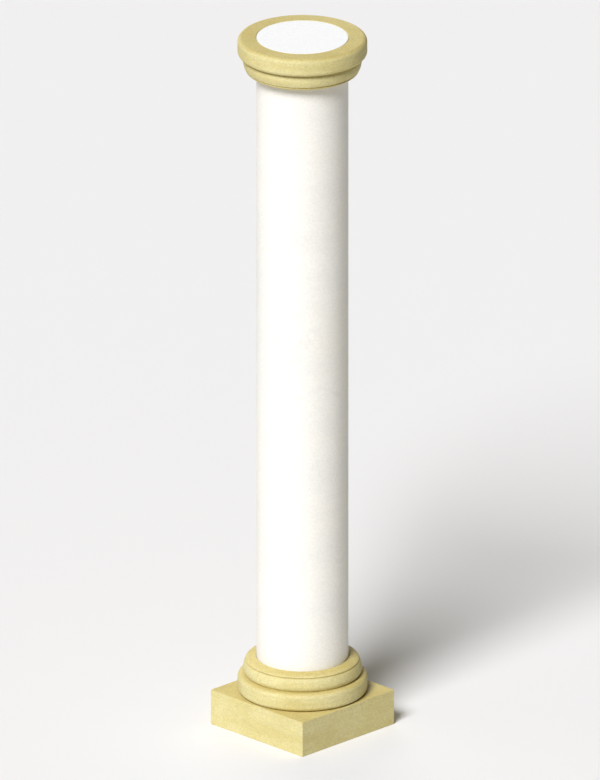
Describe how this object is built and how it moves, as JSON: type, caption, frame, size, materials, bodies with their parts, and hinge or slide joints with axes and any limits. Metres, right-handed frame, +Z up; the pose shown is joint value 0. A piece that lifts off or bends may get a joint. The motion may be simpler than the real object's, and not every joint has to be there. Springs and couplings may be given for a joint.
{
  "type": "round baluster",
  "caption": "Straight round stone baluster: square plinth, plain shaft, and a ring and bead moulding round its foot, repeated upside down at its head.",
  "frame": {"origin": "centre of the plinth's underside", "axes": "+Z up along the shaft, plinth sides along X and Y"},
  "size_m": [0.141, 0.141, 0.8],
  "materials": {
    "cream_stone": "fine rubbed cream-yellow stone, matt",
    "white_stone": "fine honed white stone, smooth and matt"
  },
  "bodies": {
    "root": {"plinth": "cream_stone", "base_collar": "cream_stone", "shaft": "white_stone", "capital_collar": "cream_stone"}
  },
  "joints": []
}
